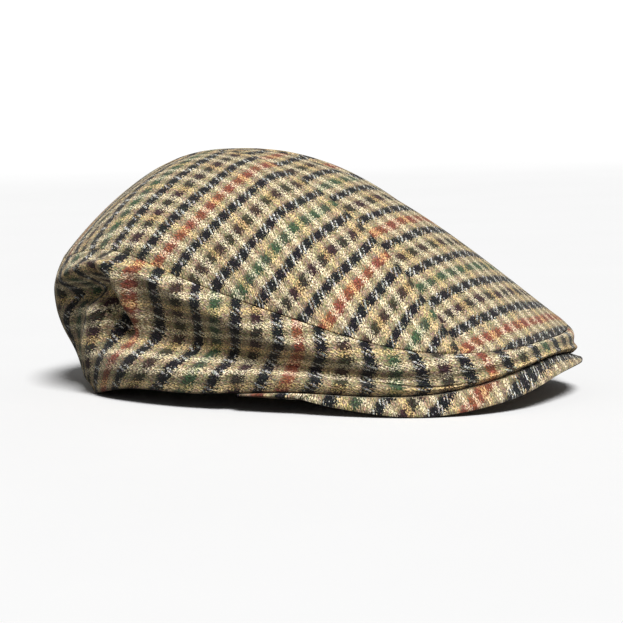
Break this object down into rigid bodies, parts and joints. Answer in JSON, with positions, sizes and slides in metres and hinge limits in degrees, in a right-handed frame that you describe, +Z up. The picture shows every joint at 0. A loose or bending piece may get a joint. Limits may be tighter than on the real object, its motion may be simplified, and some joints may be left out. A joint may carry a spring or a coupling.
{
  "type": "flat cap",
  "caption": "Soft woven wool flat cap with a sloping panelled crown, a folded side band and a short covered peak, shown at rest.",
  "frame": {"origin": "centre of the box in X and Y, on the surface that the cap rests on", "axes": "+X towards the peak at the front, +Y towards the wearer's left, +Z up"},
  "size_m": [0.2819, 0.1917, 0.1206],
  "materials": {
    "crown_center": "brushed wool tweed in a multicolour check",
    "crown_right": "brushed wool tweed in a multicolour check",
    "crown_left": "brushed wool tweed in a multicolour check",
    "side_band": "brushed wool tweed in a multicolour check",
    "peak": "brushed wool tweed in a multicolour check over a stiff core"
  },
  "bodies": {
    "root": {"crown_center": "crown_center", "crown_right": "crown_right", "crown_left": "crown_left", "side_band": "side_band", "peak": "peak"}
  },
  "joints": []
}
